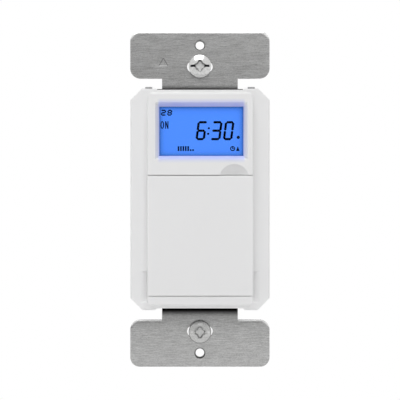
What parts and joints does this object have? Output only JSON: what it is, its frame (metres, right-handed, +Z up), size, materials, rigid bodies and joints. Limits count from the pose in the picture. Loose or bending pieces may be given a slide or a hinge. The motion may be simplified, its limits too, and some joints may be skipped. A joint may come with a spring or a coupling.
{
  "type": "timer light switch",
  "caption": "In-wall programmable timer switch with a back-lit display over a flip-down lid, programming keys, a decorator-size face, side wire terminals and a steel mounting strap.",
  "frame": {"origin": "on the strap's rear face, midway between the two box screws", "axes": "+X to the right seen from the front, +Y into the wall, +Z up; the face looks along -Y"},
  "size_m": [0.0438, 0.0377, 0.1054],
  "materials": {
    "strap_steel": "brushed across, zinc plated",
    "screw_steel": "bright plated",
    "fibre": "pressed fibre",
    "white_plastic": "fine satin moulding",
    "clear_lens": "clear polished",
    "lit_glass": "back-lit blue display",
    "rear_glass": "display rear plate",
    "frame_plastic": "moulded",
    "clear_acrylic": "polished acrylic",
    "lamp": "lamp resin",
    "contact_rubber": "layered rubber",
    "key_plastic": "satin",
    "reset_plastic": "satin",
    "plunger_plastic": "moulded",
    "switch_plastic": "moulded",
    "board": "green solder mask",
    "chip_resin": "moulded resin",
    "plated_can": "nickel plated",
    "clip_steel": "spring steel",
    "header_plastic": "moulded",
    "relay_plastic": "moulded cover",
    "film_plastic": "potted box",
    "can_sleeve": "shrink sleeve",
    "varistor_coat": "dipped resin",
    "resistor_coat": "fireproof coat",
    "brass": "stamped",
    "nickel": "nickel plated",
    "earth_green": "green dyed plating",
    "case_plastic": "moulded"
  },
  "bodies": {
    "housing": {"mounting_strap": "strap_steel", "box_screws": "screw_steel", "screw_retainers": "fibre", "front_cover": "white_plastic", "display_lens": "clear_lens", "display_front_glass": "lit_glass", "display_rear_glass": "rear_glass", "display_frame": "frame_plastic", "light_guide": "clear_acrylic", "backlight_lamps": "lamp", "contact_strip": "contact_rubber", "key_switches": "switch_plastic", "control_board": "board", "power_board": "board", "controller_chip": "chip_resin", "diodes": "chip_resin", "quartz_crystal": "plated_can", "backup_cell": "plated_can", "board_screws": "plated_can", "cell_clip": "clip_steel", "pin_header": "header_plastic", "header_socket": "header_plastic", "relay": "relay_plastic", "film_capacitor": "film_plastic", "electrolytic_capacitors": "can_sleeve", "varistor": "varistor_coat", "fuse_resistor": "resistor_coat", "line_terminal": "brass", "load_terminal": "brass", "brass_terminal_screws": "brass", "neutral_terminal": "nickel", "neutral_screw": "nickel", "wire_clamps": "nickel", "earth_screw": "earth_green", "rear_case": "case_plastic"},
    "lid": {"lid": "white_plastic"},
    "day_key": {"day_key": "key_plastic", "day_plunger": "plunger_plastic"},
    "hour_key": {"hour_key": "key_plastic", "hour_plunger": "plunger_plastic"},
    "minute_key": {"minute_key": "key_plastic", "minute_plunger": "plunger_plastic"},
    "program_key": {"program_key": "key_plastic", "program_plunger": "plunger_plastic"},
    "clock_key": {"clock_key": "key_plastic", "clock_plunger": "plunger_plastic"},
    "mode_key": {"mode_key": "key_plastic", "mode_plunger": "plunger_plastic"},
    "on_off_key": {"on_off_key": "key_plastic", "on_off_plunger": "plunger_plastic"},
    "reset_button": {"reset_button": "reset_plastic", "reset_plunger": "plunger_plastic"}
  },
  "joints": [
    {"name": "lid_hinge", "type": "hinge", "parent": "housing", "child": "lid", "pos_m": [0, -0.0057, -0.02735], "axis": [1, 0, 0], "range_deg": [0, 100]},
    {"name": "day_press", "type": "slide", "parent": "housing", "child": "day_key", "axis": [0, 1, 0], "range_m": [0, 0.0005], "stiffness_N_per_m": 1000},
    {"name": "hour_press", "type": "slide", "parent": "housing", "child": "hour_key", "axis": [0, 1, 0], "range_m": [0, 0.0005], "stiffness_N_per_m": 1000},
    {"name": "minute_press", "type": "slide", "parent": "housing", "child": "minute_key", "axis": [0, 1, 0], "range_m": [0, 0.0005], "stiffness_N_per_m": 1000},
    {"name": "program_press", "type": "slide", "parent": "housing", "child": "program_key", "axis": [0, 1, 0], "range_m": [0, 0.0005], "stiffness_N_per_m": 1000},
    {"name": "clock_press", "type": "slide", "parent": "housing", "child": "clock_key", "axis": [0, 1, 0], "range_m": [0, 0.0005], "stiffness_N_per_m": 1000},
    {"name": "mode_press", "type": "slide", "parent": "housing", "child": "mode_key", "axis": [0, 1, 0], "range_m": [0, 0.0005], "stiffness_N_per_m": 1000},
    {"name": "on_off_press", "type": "slide", "parent": "housing", "child": "on_off_key", "axis": [0, 1, 0], "range_m": [0, 0.0005], "stiffness_N_per_m": 1000},
    {"name": "reset_press", "type": "slide", "parent": "housing", "child": "reset_button", "axis": [0, 1, 0], "range_m": [0, 0.0005], "stiffness_N_per_m": 1000}
  ]
}
